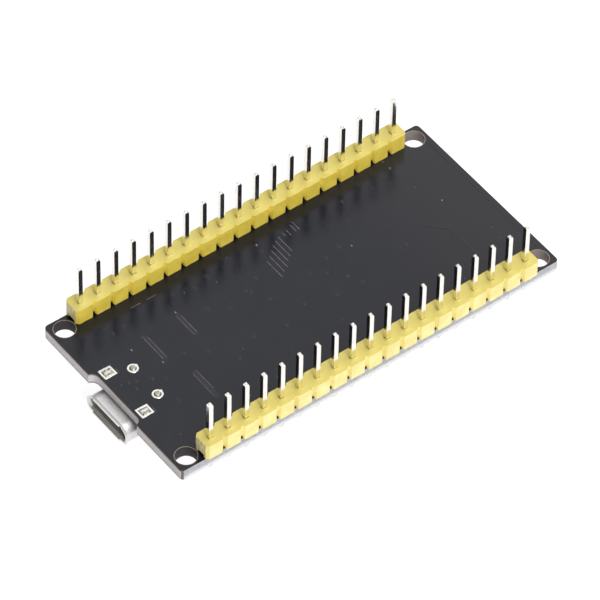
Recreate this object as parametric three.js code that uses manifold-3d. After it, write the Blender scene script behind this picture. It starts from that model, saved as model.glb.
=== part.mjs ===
// A 38-pin wireless microcontroller development board, pins up, resting on its radio module's can.
//
// Millimetres, +Z up. X runs along the board, with the USB socket at the -X end and the antenna
// at the +X end. The pin rows lie at +Y (row a) and -Y (row b).
//
// Pieces are drawn in the board's own frame: the origin is the middle of the bare board's
// component face, the pins rise towards +Z, and the components hang towards -Z. The group at the
// end moves all of it so that the bounding box is centred on X = Y = 0 and stands on Z = 0.

import * as THREE from 'three';
import { mergeVertices } from 'three/addons/utils/BufferGeometryUtils.js';
import Module from 'manifold-3d';

const wasm = await Module();
wasm.setup();

// ---------------------------------------------------------------- driving dimensions

// Pin grid
const PITCH = 2.54;
const PINS_PER_ROW = 19;
const ROW_SPACING = 25.4;

// Circuit board
const BOARD_LENGTH = 54.8;
const BOARD_WIDTH = 27.2;
const BOARD_THICKNESS = 1.6;
const BOARD_CORNER = 0.5;
const CORNER_HOLE_RADIUS = 1.32;
const CORNER_HOLE_X = 25.6;
const CORNER_HOLE_Y = 11.9;
const PIN_HOLE_RADIUS = 0.5;

// Recess in the board's end, over the mouth of the USB socket
const RECESS_DEPTH = 0.77;
const RECESS_FLAT_HALF = 3.7;
const RECESS_CORNER = 1.1;

// Header strips
const HEADER_HEIGHT = 2.3;
const HEADER_WIDTH = 2.54;
const HEADER_GROOVE = 0.35;
const HEADER_NOTCH_FOOT_HALF = 0.32;
const HEADER_NOTCH_NECK_HALF = 0.19;
const HEADER_NOTCH_NECK_HEIGHT = 0.16;
const HEADER_NOTCH_ROOF_HALF = 0.13;
const HEADER_NOTCH_ROOF_HEIGHT = 0.58;
const HEADER_CHANNEL_WIDTH = 1.2;
const HEADER_CHANNEL_HEIGHT = 0.4;

// Square pins
const PIN_SIDE = 0.6;
const PIN_LENGTH = 11;
const PIN_TOP = 7.95;
const PIN_TIP_SIDE = 0.34;
const PIN_TIP_HEIGHT = 0.32;
const PIN_CLEARANCE = 0.02;

// Components are soldered on with this thin joint, and stacked parts keep the same gap
const SEAT_GAP = 0.02;

// How far a cutting shape reaches past what it cuts
const OVERCUT = 1;

// USB socket
const USB_Y = -0.1;
const USB_SEAT = 0.16;
const USB_OVERHANG = 0.9;
const USB_LENGTH = 5.9;
const USB_HEIGHT = 2.4;
const USB_HALF_WIDTH = 3.72;
const USB_NARROW_HALF = 2.72;
const USB_CHAMFER_HEIGHT = 0.75;
const USB_LOWER_ROUND = 0.6;
const USB_UPPER_ROUND = 0.45;
const USB_NARROW_INSET = 0.5;
const USB_SHOULDER_INSET = 0.4;
const USB_WALL = 0.25;
const USB_LIP_LENGTH = 0.36;
const USB_LIP_FLARE = 0.2;
const USB_LIP_EDGE = 0.1;
const USB_SLIT_Y = 2.62;
const USB_SLIT_WIDTH = 0.2;
const USB_SIDE_FLAP_SETBACK = 0.16;
const USB_LEG_X = 1.9;
const USB_LEG_LENGTH = 1.0;
const USB_LEG_THICKNESS = 0.28;
const USB_LEG_ROOT = 0.4;
const USB_LEG_STANDOUT = 0.2;
const USB_SLOT_MARGIN_X = 0.15;
const USB_SLOT_MARGIN_Y = 0.2;
const USB_SLOT_CORNER = 0.12;
const USB_PEG_X = 4.64;
const USB_PEG_Y = 2.42;
const USB_PEG_RADIUS = 0.28;
const USB_PEG_MARGIN = 0.12;
const USB_PEG_STANDOUT = 0.15;
const USB_TONGUE_THICKNESS = 0.6;
const USB_TONGUE_HALF = 1.85;
const USB_TONGUE_LIFT = 0.3;
const USB_TONGUE_SETBACK = 0.8;
const USB_CORE_LENGTH = 1.5;
const USB_CORE_GAP = 0.05;

// Radio module
const MODULE_LENGTH = 25.5;
const MODULE_WIDTH = 18;
const MODULE_THICKNESS = 0.8;
const MODULE_END_MARGIN = 0.2;
const CASTELLATION_PITCH = 1.27;
const CASTELLATION_RADIUS = 0.3;
const FIRST_CASTELLATION = 1.5;
const SIDE_CASTELLATIONS = 14;
const END_CASTELLATIONS = 10;
const CAN_LENGTH = 17.6;
const CAN_WIDTH = 15.8;
const CAN_FACE_DEPTH = 3.1;
const CAN_WALL = 0.2;
const CAN_EDGE = 0.15;
const CAN_INSET = 0.9;

// Tactile switches
const SWITCH_X = -24.3;
const SWITCH_Y = 7.6;
const SWITCH_SIZE_X = 3.0;
const SWITCH_SIZE_Y = 3.9;
const SWITCH_BASE_HEIGHT = 1.35;
const SWITCH_WELL_RADIUS = 1.2;
const SWITCH_FLOOR = 0.3;
const SWITCH_COVER_THICKNESS = 0.2;
const SWITCH_FLAP_HEIGHT = 0.95;
const SWITCH_FLAP_THICKNESS = 0.15;
const BUTTON_RADIUS = 0.8;
const BUTTON_CLEARANCE = 0.1;
const BUTTON_FLANGE_RADIUS = 1.05;
const BUTTON_FLANGE_HEIGHT = 0.35;
const BUTTON_FLANGE_GAP = 0.05;
const BUTTON_FACE_DEPTH = 2.05;
const BUTTON_EDGE = 0.1;
const DOME_RADIUS = 1.05;
const DOME_RISE = 0.22;
const DOME_THICKNESS = 0.08;

// How finely curves are divided
const CURVE_SEGMENTS = 3;
const CORNER_HOLE_SIDES = 32;
const SMALL_HOLE_SIDES = 12;
const BUTTON_SIDES = 24;
const DOME_SIDES = 16;
const DOME_RINGS = 4;
const CASTELLATION_SEGMENTS = 4;
const RECESS_SEGMENTS = 6;

// Finishes
const FINISH = {
  solderMask: { color: 0x1d1e22, roughness: 0.35, metalness: 0.0 },
  yellowPlastic: { color: 0xe9d43c, roughness: 0.45, metalness: 0.0 },
  pinPlating: { color: 0xd8d6cf, roughness: 0.25, metalness: 1.0 },
  steel: { color: 0xb9bbbd, roughness: 0.35, metalness: 1.0 },
  blackPlastic: { color: 0x151517, roughness: 0.55, metalness: 0.0 },
  moulding: { color: 0x1b1b1d, roughness: 0.65, metalness: 0.0 },
  buttonPlastic: { color: 0xded9c8, roughness: 0.5, metalness: 0.0 },
  tantalum: { color: 0xd9a22b, roughness: 0.5, metalness: 0.0 },
  lens: { color: 0xe8e4d2, roughness: 0.3, metalness: 0.0 },
};

// ---------------------------------------------------------------- geometry helpers

// A watertight solid that can be cut and joined
function toSolid(geometry) {
  const bare = geometry.index ? geometry.clone() : geometry;
  bare.deleteAttribute('normal');
  bare.deleteAttribute('uv');
  const merged = mergeVertices(bare, 1e-5);
  return new wasm.Manifold(new wasm.Mesh({
    numProp: 3,
    vertProperties: new Float32Array(merged.attributes.position.array),
    triVerts: new Uint32Array(merged.index.array),
  }));
}

function toGeometry(solid) {
  const mesh = solid.getMesh();
  const geometry = new THREE.BufferGeometry();
  geometry.setAttribute('position', new THREE.BufferAttribute(mesh.vertProperties, 3));
  geometry.setIndex(new THREE.BufferAttribute(mesh.triVerts, 1));
  geometry.computeVertexNormals();
  return geometry;
}

function box(x0, x1, y0, y1, z0, z1) {
  const geometry = new THREE.BoxGeometry(x1 - x0, y1 - y0, z1 - z0);
  return geometry.translate((x0 + x1) / 2, (y0 + y1) / 2, (z0 + z1) / 2);
}

// A flat outline raised from z0 to z1
function prism(shape, z0, z1) {
  const geometry = new THREE.ExtrudeGeometry(shape, { depth: z1 - z0, bevelEnabled: false });
  return geometry.translate(0, 0, z0);
}

// A (y, z) outline run along X from x0 to x1
function prismAlongX(shape, x0, x1, bevel = { bevelEnabled: false }) {
  const geometry = new THREE.ExtrudeGeometry(shape, {
    depth: x1 - x0, curveSegments: CURVE_SEGMENTS, ...bevel,
  });
  geometry.rotateX(Math.PI / 2);
  geometry.rotateZ(Math.PI / 2);
  return geometry.translate(x0, 0, 0);
}

// An (x, z) outline run along Y from y0 to y1
function prismAlongY(shape, y0, y1) {
  const geometry = new THREE.ExtrudeGeometry(shape, { depth: y1 - y0, bevelEnabled: false });
  geometry.rotateX(Math.PI / 2);
  return geometry.translate(0, y1, 0);
}

function rod(x, y, radius, z0, z1, sides) {
  const geometry = new THREE.CylinderGeometry(radius, radius, z1 - z0, sides);
  geometry.rotateX(Math.PI / 2);
  return geometry.translate(x, y, (z0 + z1) / 2);
}

function circle(x, y, radius, sides) {
  const path = new THREE.Path();
  for (let i = 0; i < sides; i += 1) {
    const angle = (-2 * Math.PI * i) / sides;
    const px = x + radius * Math.cos(angle);
    const py = y + radius * Math.sin(angle);
    if (i === 0) path.moveTo(px, py);
    else path.lineTo(px, py);
  }
  path.closePath();
  return path;
}

function polygon(points) {
  return new THREE.Shape(points.map(([x, y]) => new THREE.Vector2(x, y)));
}

// A closed outline whose corners are rounded off by the given radii
function roundedPolygon(corners) {
  const shape = new THREE.Shape();
  corners.forEach(([x, y, radius], i) => {
    const [px, py] = corners[(i + corners.length - 1) % corners.length];
    const [nx, ny] = corners[(i + 1) % corners.length];
    const toPrevious = radius / Math.hypot(px - x, py - y);
    const toNext = radius / Math.hypot(nx - x, ny - y);
    const startX = x + (px - x) * toPrevious;
    const startY = y + (py - y) * toPrevious;
    if (i === 0) shape.moveTo(startX, startY);
    else shape.lineTo(startX, startY);
    shape.quadraticCurveTo(x, y, x + (nx - x) * toNext, y + (ny - y) * toNext);
  });
  shape.closePath();
  return shape;
}

// A box whose twelve edges are chamfered
function roundedBox(x, y, sizeX, sizeY, z0, z1, edge) {
  const shape = polygon([
    [-sizeX / 2 + edge, -sizeY / 2 + edge], [sizeX / 2 - edge, -sizeY / 2 + edge],
    [sizeX / 2 - edge, sizeY / 2 - edge], [-sizeX / 2 + edge, sizeY / 2 - edge],
  ]);
  const geometry = new THREE.ExtrudeGeometry(shape, {
    depth: z1 - z0 - 2 * edge,
    bevelEnabled: true,
    bevelThickness: edge,
    bevelSize: edge,
    bevelSegments: 1,
  });
  return geometry.translate(x, y, z0 + edge);
}

const board = new THREE.Group();

function addPiece(name, geometry, finish) {
  const mesh = new THREE.Mesh(geometry, new THREE.MeshStandardMaterial(finish));
  mesh.name = name;
  board.add(mesh);
  return mesh;
}

function pinX(index) {
  return (index - (PINS_PER_ROW - 1) / 2) * PITCH;
}

const ROWS = [
  { letter: 'a', y: ROW_SPACING / 2 },
  { letter: 'b', y: -ROW_SPACING / 2 },
];

// ---------------------------------------------------------------- circuit board

const BOARD_X0 = -BOARD_LENGTH / 2;
const BOARD_X1 = BOARD_LENGTH / 2;
const USB_FRONT = BOARD_X0 - USB_OVERHANG;

// The outline goes round anticlockwise from the -X, -Y corner, and ends along the USB recess
function boardOutline() {
  const halfWidth = BOARD_WIDTH / 2;
  const points = [];
  const addArc = (x, y, radius, startAngle, endAngle, segments) => {
    for (let i = 0; i <= segments; i += 1) {
      const angle = startAngle + ((endAngle - startAngle) * i) / segments;
      points.push([x + radius * Math.cos(angle), y + radius * Math.sin(angle)]);
    }
  };
  const corners = [[-1, -1], [1, -1], [1, 1], [-1, 1]];
  corners.forEach(([sideX, sideY], i) => {
    const x = sideX * (BOARD_X1 - BOARD_CORNER);
    const y = sideY * (halfWidth - BOARD_CORNER);
    const startAngle = Math.PI + (i * Math.PI) / 2;
    addArc(x, y, BOARD_CORNER, startAngle, startAngle + Math.PI / 2, CURVE_SEGMENTS);
  });
  const arcX = BOARD_X0 + RECESS_DEPTH - RECESS_CORNER;
  const mouthAngle = Math.acos((BOARD_X0 - arcX) / RECESS_CORNER);
  addArc(arcX, USB_Y + RECESS_FLAT_HALF, RECESS_CORNER, mouthAngle, 0, RECESS_SEGMENTS);
  addArc(arcX, USB_Y - RECESS_FLAT_HALF, RECESS_CORNER, 0, -mouthAngle, RECESS_SEGMENTS);
  return polygon(points);
}

// The slot that one of the USB socket's front legs goes through
function usbLegSlot(side) {
  const x = BOARD_X0 + USB_LEG_X;
  const y = USB_Y + side * (USB_HALF_WIDTH - USB_LEG_THICKNESS / 2);
  const halfX = USB_LEG_LENGTH / 2 + USB_SLOT_MARGIN_X;
  const halfY = USB_LEG_THICKNESS / 2 + USB_SLOT_MARGIN_Y;
  const outline = [
    [x - halfX, y - halfY, USB_SLOT_CORNER], [x - halfX, y + halfY, USB_SLOT_CORNER],
    [x + halfX, y + halfY, USB_SLOT_CORNER], [x + halfX, y - halfY, USB_SLOT_CORNER],
  ];
  return new THREE.Path(roundedPolygon(outline).getPoints(CURVE_SEGMENTS));
}

function makeCircuitBoard() {
  const shape = boardOutline();
  for (const sideX of [-1, 1]) {
    for (const sideY of [-1, 1]) {
      shape.holes.push(circle(
        sideX * CORNER_HOLE_X, sideY * CORNER_HOLE_Y, CORNER_HOLE_RADIUS, CORNER_HOLE_SIDES,
      ));
    }
  }
  for (const row of ROWS) {
    for (let i = 0; i < PINS_PER_ROW; i += 1) {
      shape.holes.push(circle(pinX(i), row.y, PIN_HOLE_RADIUS, SMALL_HOLE_SIDES));
    }
  }
  for (const side of [-1, 1]) {
    shape.holes.push(usbLegSlot(side));
    shape.holes.push(circle(
      BOARD_X0 + USB_PEG_X, USB_Y + side * USB_PEG_Y, USB_PEG_RADIUS + USB_PEG_MARGIN, SMALL_HOLE_SIDES,
    ));
  }
  addPiece('circuit_board', prism(shape, 0, BOARD_THICKNESS), FINISH.solderMask);
}

// ---------------------------------------------------------------- header strips and pins

// Nineteen joined blocks, with a V groove at each joint on both long sides
function headerOutline(y) {
  const half = HEADER_WIDTH / 2;
  const start = pinX(0) - PITCH / 2;
  const points = [];
  for (let i = 0; i < PINS_PER_ROW; i += 1) {
    const x = start + i * PITCH;
    points.push([x, y - half + HEADER_GROOVE]);
    points.push([x + HEADER_GROOVE, y - half]);
    points.push([x + PITCH - HEADER_GROOVE, y - half]);
  }
  const end = start + PINS_PER_ROW * PITCH;
  points.push([end, y - half + HEADER_GROOVE]);
  for (let i = 0; i < PINS_PER_ROW; i += 1) {
    const x = end - i * PITCH;
    points.push([x, y + half - HEADER_GROOVE]);
    points.push([x - HEADER_GROOVE, y + half]);
    points.push([x - PITCH + HEADER_GROOVE, y + half]);
  }
  points.push([start, y + half - HEADER_GROOVE]);
  return polygon(points);
}

function makeHeaderStrip(row) {
  const seat = BOARD_THICKNESS + SEAT_GAP;
  const top = BOARD_THICKNESS + HEADER_HEIGHT;
  let strip = toSolid(prism(headerOutline(row.y), seat, top));
  const halfHole = PIN_SIDE / 2 + PIN_CLEARANCE;
  for (let i = 0; i < PINS_PER_ROW; i += 1) {
    const x = pinX(i);
    const hole = box(
      x - halfHole, x + halfHole, row.y - halfHole, row.y + halfHole, seat - OVERCUT, top + OVERCUT,
    );
    strip = strip.subtract(toSolid(hole));
  }

  // A break-off notch under each joint, and a channel along the underside between the feet
  const cutY0 = row.y - HEADER_WIDTH;
  const cutY1 = row.y + HEADER_WIDTH;
  for (let i = 1; i < PINS_PER_ROW; i += 1) {
    const x = pinX(i) - PITCH / 2;
    const neck = seat + HEADER_NOTCH_NECK_HEIGHT;
    const roof = seat + HEADER_NOTCH_ROOF_HEIGHT;
    const notch = polygon([
      [x - HEADER_NOTCH_FOOT_HALF, seat - OVERCUT], [x + HEADER_NOTCH_FOOT_HALF, seat - OVERCUT],
      [x + HEADER_NOTCH_FOOT_HALF, seat], [x + HEADER_NOTCH_NECK_HALF, neck],
      [x + HEADER_NOTCH_ROOF_HALF, roof], [x - HEADER_NOTCH_ROOF_HALF, roof],
      [x - HEADER_NOTCH_NECK_HALF, neck], [x - HEADER_NOTCH_FOOT_HALF, seat],
    ]);
    strip = strip.subtract(toSolid(prismAlongY(notch, cutY0, cutY1)));
  }
  const channel = box(
    pinX(0) - PITCH, pinX(PINS_PER_ROW - 1) + PITCH,
    row.y - HEADER_CHANNEL_WIDTH / 2, row.y + HEADER_CHANNEL_WIDTH / 2,
    seat - OVERCUT, seat + HEADER_CHANNEL_HEIGHT,
  );
  strip = strip.subtract(toSolid(channel));
  addPiece(`header_strip_${row.letter}`, toGeometry(strip), FINISH.yellowPlastic);
}

// A square pin whose four-sided tips taper at both ends, from the solder side to the plug side
function pinGeometry() {
  const corner = Math.SQRT1_2;
  const bottom = PIN_TOP - PIN_LENGTH;
  const profile = [
    [0, bottom], [PIN_TIP_SIDE * corner, bottom],
    [PIN_SIDE * corner, bottom + PIN_TIP_HEIGHT], [PIN_SIDE * corner, PIN_TOP - PIN_TIP_HEIGHT],
    [PIN_TIP_SIDE * corner, PIN_TOP], [0, PIN_TOP],
  ].map(([r, z]) => new THREE.Vector2(r, z));
  const geometry = new THREE.LatheGeometry(profile, 4, Math.PI / 4);
  return geometry.rotateX(Math.PI / 2);
}

function makePins(row) {
  for (let i = 0; i < PINS_PER_ROW; i += 1) {
    const number = String(i + 1).padStart(2, '0');
    const pin = addPiece(`pin_${row.letter}_${number}`, pinGeometry(), FINISH.pinPlating);
    pin.position.set(pinX(i), row.y, BOARD_THICKNESS);
  }
}

// ---------------------------------------------------------------- USB socket

// The socket's cross-section, shrunk all round by inset. Its narrow side faces the board.
function usbSection(inset) {
  const top = -USB_SEAT - inset;
  const bottom = -USB_HEIGHT + inset;
  const half = USB_HALF_WIDTH - inset;
  const narrow = USB_NARROW_HALF - inset * USB_NARROW_INSET;
  const shoulder = -USB_CHAMFER_HEIGHT - inset * USB_SHOULDER_INSET;
  return roundedPolygon([
    [USB_Y - half, bottom, USB_LOWER_ROUND], [USB_Y + half, bottom, USB_LOWER_ROUND],
    [USB_Y + half, shoulder, USB_UPPER_ROUND], [USB_Y + narrow, top, USB_UPPER_ROUND],
    [USB_Y - narrow, top, USB_UPPER_ROUND], [USB_Y - half, shoulder, USB_UPPER_ROUND],
  ]);
}

// The trumpet-shaped part of the mouth: straight bevel, then a short edge, open at the front
function usbFlare(inset) {
  return toSolid(prismAlongX(usbSection(inset), USB_FRONT - OVERCUT, USB_FRONT, {
    bevelEnabled: true,
    bevelThickness: USB_LIP_LENGTH,
    bevelSize: USB_LIP_FLARE,
    bevelSegments: 1,
  }));
}

function makeUsbSocket() {
  const back = USB_FRONT + USB_LENGTH;
  const openEnd = box(
    USB_FRONT - 3 * OVERCUT, USB_FRONT - USB_LIP_EDGE,
    USB_Y - 2 * USB_HALF_WIDTH, USB_Y + 2 * USB_HALF_WIDTH, -2 * USB_HEIGHT, USB_HEIGHT,
  );
  let shell = toSolid(prismAlongX(usbSection(0), USB_FRONT, back)).add(usbFlare(0));
  const hollow = toSolid(prismAlongX(usbSection(USB_WALL), USB_FRONT - 2 * OVERCUT, back + OVERCUT));
  shell = shell.subtract(hollow).subtract(usbFlare(USB_WALL)).subtract(toSolid(openEnd));

  // The flare is slit where the wall bends, and its side flaps stand back a little
  const flapFront = USB_FRONT - USB_LIP_EDGE;
  for (const side of [-1, 1]) {
    const slitY = USB_Y + side * USB_SLIT_Y;
    const slit = box(
      flapFront - OVERCUT, USB_FRONT + USB_LIP_LENGTH / 2,
      slitY - USB_SLIT_WIDTH / 2, slitY + USB_SLIT_WIDTH / 2, -USB_HEIGHT / 2, USB_HEIGHT,
    );
    const flapY = [slitY, slitY + side * 2 * USB_HALF_WIDTH];
    const setback = box(
      flapFront - OVERCUT, flapFront + USB_SIDE_FLAP_SETBACK,
      Math.min(...flapY), Math.max(...flapY), -2 * USB_HEIGHT, USB_HEIGHT,
    );
    shell = shell.subtract(toSolid(slit)).subtract(toSolid(setback));
  }

  // Front legs fold up from the side walls, and rear pegs rise from the narrow wall
  const legX = BOARD_X0 + USB_LEG_X;
  const pegRoot = -USB_SEAT - USB_WALL / 2;
  for (const side of [-1, 1]) {
    const legY = USB_Y + side * (USB_HALF_WIDTH - USB_LEG_THICKNESS / 2 - SEAT_GAP / 2);
    const leg = box(
      legX - USB_LEG_LENGTH / 2, legX + USB_LEG_LENGTH / 2,
      legY - USB_LEG_THICKNESS / 2, legY + USB_LEG_THICKNESS / 2,
      -USB_CHAMFER_HEIGHT - USB_LEG_ROOT, BOARD_THICKNESS + USB_LEG_STANDOUT,
    );
    const peg = rod(
      BOARD_X0 + USB_PEG_X, USB_Y + side * USB_PEG_Y, USB_PEG_RADIUS,
      pegRoot, BOARD_THICKNESS + USB_PEG_STANDOUT, SMALL_HOLE_SIDES,
    );
    shell = shell.add(toSolid(leg)).add(toSolid(peg));
  }
  addPiece('usb_shell', toGeometry(shell), FINISH.steel);

  // The insulator fills the back of the shell and reaches forward as a thin tongue
  const coreFront = back - USB_CORE_LENGTH;
  const core = toSolid(prismAlongX(usbSection(USB_WALL + USB_CORE_GAP), coreFront, back - USB_CORE_GAP));
  const tongueFace = -USB_HEIGHT + USB_WALL + USB_TONGUE_LIFT;
  const tongue = toSolid(box(
    USB_FRONT + USB_TONGUE_SETBACK, coreFront + USB_CORE_GAP,
    USB_Y - USB_TONGUE_HALF, USB_Y + USB_TONGUE_HALF,
    tongueFace, tongueFace + USB_TONGUE_THICKNESS,
  ));
  addPiece('usb_tongue', toGeometry(core.add(tongue)), FINISH.blackPlastic);
}

// ---------------------------------------------------------------- radio module

const MODULE_X1 = BOARD_X1 - MODULE_END_MARGIN;
const MODULE_X0 = MODULE_X1 - MODULE_LENGTH;
const MODULE_TOP = -SEAT_GAP;
const MODULE_FACE = MODULE_TOP - MODULE_THICKNESS;

// A half-round bite out of an edge. It starts on the edge and comes back to it.
function castellation(points, x, y, startAngle) {
  for (let i = 0; i <= CASTELLATION_SEGMENTS; i += 1) {
    const angle = startAngle - (Math.PI * i) / CASTELLATION_SEGMENTS;
    points.push([x + CASTELLATION_RADIUS * Math.cos(angle), y + CASTELLATION_RADIUS * Math.sin(angle)]);
  }
}

function makeModuleBoard() {
  const half = MODULE_WIDTH / 2;
  const points = [];
  const firstX = MODULE_X0 + FIRST_CASTELLATION;
  for (let i = 0; i < SIDE_CASTELLATIONS; i += 1) {
    castellation(points, firstX + i * CASTELLATION_PITCH, -half, Math.PI);
  }
  points.push([MODULE_X1, -half]);
  points.push([MODULE_X1, half]);
  for (let i = SIDE_CASTELLATIONS - 1; i >= 0; i -= 1) {
    castellation(points, firstX + i * CASTELLATION_PITCH, half, 0);
  }
  points.push([MODULE_X0, half]);
  for (let i = 0; i < END_CASTELLATIONS; i += 1) {
    const y = ((END_CASTELLATIONS - 1) / 2 - i) * CASTELLATION_PITCH;
    castellation(points, MODULE_X0, y, Math.PI / 2);
  }
  points.push([MODULE_X0, -half]);
  addPiece('module_board', prism(polygon(points), MODULE_FACE, MODULE_TOP), FINISH.solderMask);
}

function makeShieldCan() {
  const x0 = MODULE_X0 + CAN_INSET;
  const x1 = x0 + CAN_LENGTH;
  const half = CAN_WIDTH / 2;
  const rim = MODULE_FACE - SEAT_GAP;
  const outer = toSolid(roundedBox(
    (x0 + x1) / 2, 0, CAN_LENGTH, CAN_WIDTH, -CAN_FACE_DEPTH, rim + 2 * CAN_EDGE, CAN_EDGE,
  ));
  const trim = toSolid(box(x0 - OVERCUT, x1 + OVERCUT, -half - OVERCUT, half + OVERCUT, rim, rim + OVERCUT));
  const hollow = toSolid(box(
    x0 + CAN_WALL, x1 - CAN_WALL, -half + CAN_WALL, half - CAN_WALL,
    -CAN_FACE_DEPTH + CAN_WALL, rim + OVERCUT,
  ));
  addPiece('shield_can', toGeometry(outer.subtract(trim).subtract(hollow)), FINISH.steel);
}

// Chips and other blocks that hang from a soldered face
const CAN_MIDDLE = MODULE_X0 + CAN_INSET + CAN_LENGTH / 2;
const BLOCK_EDGE = 0.08;
const BLOCKS = [
  {
    name: 'radio_chip', face: MODULE_FACE, finish: FINISH.moulding,
    x: CAN_MIDDLE + 2.2, y: 0.6, sizeX: 5, sizeY: 5, height: 0.85,
  },
  {
    name: 'flash_chip', face: MODULE_FACE, finish: FINISH.moulding,
    x: CAN_MIDDLE - 4.6, y: -2.2, sizeX: 5.3, sizeY: 5.3, height: 1.7,
  },
  {
    name: 'crystal', face: MODULE_FACE, finish: FINISH.steel,
    x: CAN_MIDDLE + 3.2, y: -5.3, sizeX: 3.2, sizeY: 2.5, height: 0.75,
  },
  {
    name: 'usb_serial_chip', face: 0, finish: FINISH.moulding,
    x: -14.6, y: -2.4, sizeX: 5, sizeY: 5, height: 0.85,
  },
  {
    name: 'tantalum_capacitor', face: 0, finish: FINISH.tantalum,
    x: -6.6, y: 6.3, sizeX: 3.5, sizeY: 2.8, height: 1.8,
  },
];

function makeBlock({ name, face, finish, x, y, sizeX, sizeY, height }) {
  const z1 = face - SEAT_GAP;
  addPiece(name, roundedBox(x, y, sizeX, sizeY, z1 - height, z1, BLOCK_EDGE), finish);
}

// ---------------------------------------------------------------- tactile switches

function makeSwitch(name, y) {
  const x0 = SWITCH_X - SWITCH_SIZE_X / 2;
  const x1 = SWITCH_X + SWITCH_SIZE_X / 2;
  const y0 = y - SWITCH_SIZE_Y / 2;
  const y1 = y + SWITCH_SIZE_Y / 2;
  const top = -SEAT_GAP;
  const baseFace = -SWITCH_BASE_HEIGHT;
  const wellFloor = top - SWITCH_FLOOR;

  const well = toSolid(rod(SWITCH_X, y, SWITCH_WELL_RADIUS, baseFace - OVERCUT, wellFloor, BUTTON_SIDES));
  const base = toSolid(box(x0, x1, y0, y1, baseFace, top)).subtract(well);
  addPiece(`${name}_switch_base`, toGeometry(base), FINISH.blackPlastic);

  const coverTop = baseFace - SEAT_GAP;
  const coverFace = coverTop - SWITCH_COVER_THICKNESS;
  const flapInner = SWITCH_SIZE_X / 2 + SEAT_GAP;
  const flapOuter = flapInner + SWITCH_FLAP_THICKNESS;
  const openingRadius = BUTTON_RADIUS + BUTTON_CLEARANCE;
  const opening = toSolid(rod(
    SWITCH_X, y, openingRadius, coverFace - OVERCUT, coverTop + OVERCUT, BUTTON_SIDES,
  ));
  const channel = toSolid(box(
    SWITCH_X - flapInner, SWITCH_X + flapInner, y0 - OVERCUT, y1 + OVERCUT,
    coverTop, coverTop + SWITCH_BASE_HEIGHT,
  ));
  const sheet = toSolid(box(
    SWITCH_X - flapOuter, SWITCH_X + flapOuter, y0, y1, coverFace, coverTop + SWITCH_FLAP_HEIGHT,
  ));
  const cover = sheet.subtract(channel).subtract(opening);
  addPiece(`${name}_switch_cover`, toGeometry(cover), FINISH.steel);

  const flangeFace = coverTop + BUTTON_FLANGE_GAP;
  const flangeTop = flangeFace + BUTTON_FLANGE_HEIGHT;
  const buttonProfile = [
    [0, -BUTTON_FACE_DEPTH], [BUTTON_RADIUS - BUTTON_EDGE, -BUTTON_FACE_DEPTH],
    [BUTTON_RADIUS, -BUTTON_FACE_DEPTH + BUTTON_EDGE], [BUTTON_RADIUS, flangeFace],
    [BUTTON_FLANGE_RADIUS, flangeFace], [BUTTON_FLANGE_RADIUS, flangeTop], [0, flangeTop],
  ];
  addPiece(`${name}_button`, turned(buttonProfile, BUTTON_SIDES, SWITCH_X, y), FINISH.buttonPlastic);

  // The snap dome is a shallow spherical cap that bulges away from the board
  const domeFoot = wellFloor - SEAT_GAP;
  const sphere = (DOME_RADIUS ** 2 + DOME_RISE ** 2) / (2 * DOME_RISE);
  const lowerFace = [];
  const upperFace = [];
  for (let i = 0; i <= DOME_RINGS; i += 1) {
    const radius = (DOME_RADIUS * i) / DOME_RINGS;
    const z = domeFoot + (sphere - DOME_RISE) - Math.sqrt(sphere ** 2 - radius ** 2);
    lowerFace.push([radius, z - DOME_THICKNESS]);
    upperFace.unshift([radius, z]);
  }
  const dome = turned([...lowerFace, ...upperFace], DOME_SIDES, SWITCH_X, y);
  addPiece(`${name}_snap_dome`, dome, FINISH.steel);
}

// A profile of (radius, z) points turned about a vertical axis
function turned(profile, sides, x, y) {
  const points = profile.map(([r, z]) => new THREE.Vector2(r, z));
  const geometry = new THREE.LatheGeometry(points, sides);
  geometry.rotateX(Math.PI / 2);
  return geometry.translate(x, y, 0);
}

// ---------------------------------------------------------------- other components

const REGULATOR = {
  x: -14.6, y: 6.3, sizeX: 6.5, sizeY: 3.5, height: 1.65, lift: 0.08,
  edge: 0.12, leadPitch: 2.3, leadWidth: 0.7, tabWidth: 3.0, leadThickness: 0.28,
  leadReach: 1.75, leadRoot: 0.4, leadBend: 0.2, leadFoot: 1.05,
};

const POWER_LED = {
  x: -19.3, y: 9.9, sizeX: 1.6, sizeY: 0.8, baseHeight: 0.3,
  lensX: 1.1, lensY: 0.7, height: 0.6, edge: 0.08,
};

// A gull-wing lead, running from y = 0 at the body to y = reach, with its foot on the board. Its root is
// buried in the body, and it leaves the body level, slopes down, and ends in a flat foot.
function gullWing({ leadReach, leadThickness, leadRoot, leadBend, leadFoot }, shoulder) {
  const foot = -SEAT_GAP;
  return polygon([
    [-leadRoot, shoulder], [-leadRoot, shoulder - leadThickness],
    [leadBend + leadThickness / 2, shoulder - leadThickness],
    [leadReach - leadFoot + leadThickness / 2, foot - leadThickness],
    [leadReach, foot - leadThickness], [leadReach, foot],
    [leadReach - leadFoot, foot], [leadBend, shoulder],
  ]);
}

function makeRegulator() {
  const r = REGULATOR;
  const top = -SEAT_GAP - r.lift;
  let regulator = toSolid(roundedBox(r.x, r.y, r.sizeX, r.sizeY, top - r.height, top, r.edge));
  const shoulder = top - r.height / 2 + r.leadThickness / 2;
  const wing = gullWing(r, shoulder);
  const addLead = (x, width, side) => {
    const lead = prismAlongX(wing, -width / 2, width / 2);
    if (side < 0) lead.rotateZ(Math.PI);
    lead.translate(x, r.y + side * (r.sizeY / 2), 0);
    regulator = regulator.add(toSolid(lead));
  };
  for (const step of [-1, 0, 1]) addLead(r.x + step * r.leadPitch, r.leadWidth, -1);
  addLead(r.x, r.tabWidth, 1);
  addPiece('voltage_regulator', toGeometry(regulator), FINISH.moulding);
}

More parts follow.
